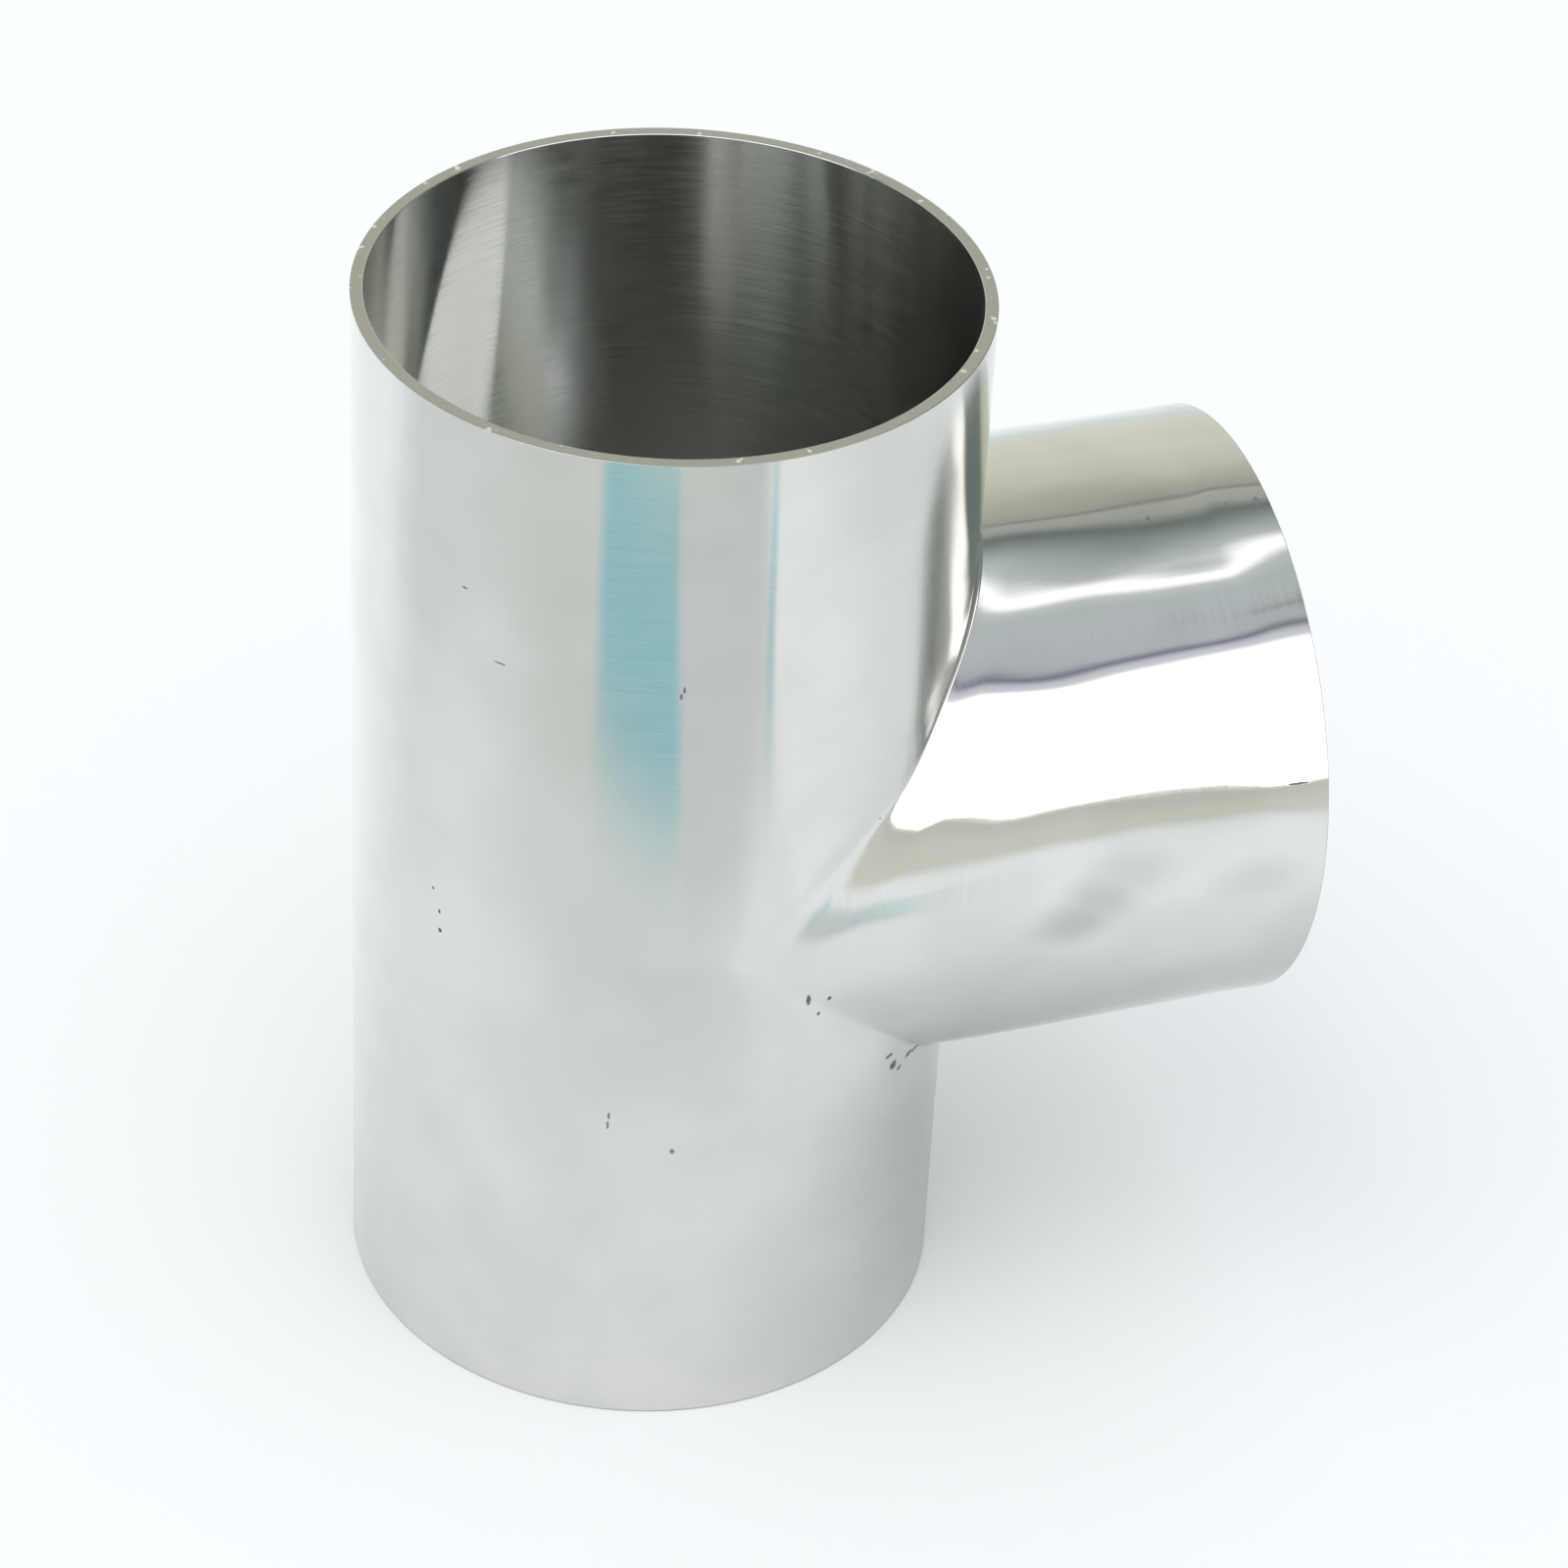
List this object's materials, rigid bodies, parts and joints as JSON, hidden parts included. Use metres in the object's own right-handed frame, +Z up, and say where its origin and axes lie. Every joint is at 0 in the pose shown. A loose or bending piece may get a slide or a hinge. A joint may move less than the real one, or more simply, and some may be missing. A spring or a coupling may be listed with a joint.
{
  "type": "weld tee",
  "caption": "Equal butt-weld tee of thin stainless tube: a straight run with a branch of the same diameter drawn from its side at a right angle, to join sanitary lines.",
  "frame": {"origin": "centre of the run's lower mouth, on the run's axis and in the plane that the tee stands on", "axes": "+Z up along the run's axis to its upper mouth, +X along the branch's axis towards the branch's mouth, +Y across both"},
  "size_m": [0.113, 0.076, 0.144],
  "materials": {
    "stainless_steel": "satin"
  },
  "bodies": {
    "root": {"weld_tee": "stainless_steel"}
  },
  "joints": []
}
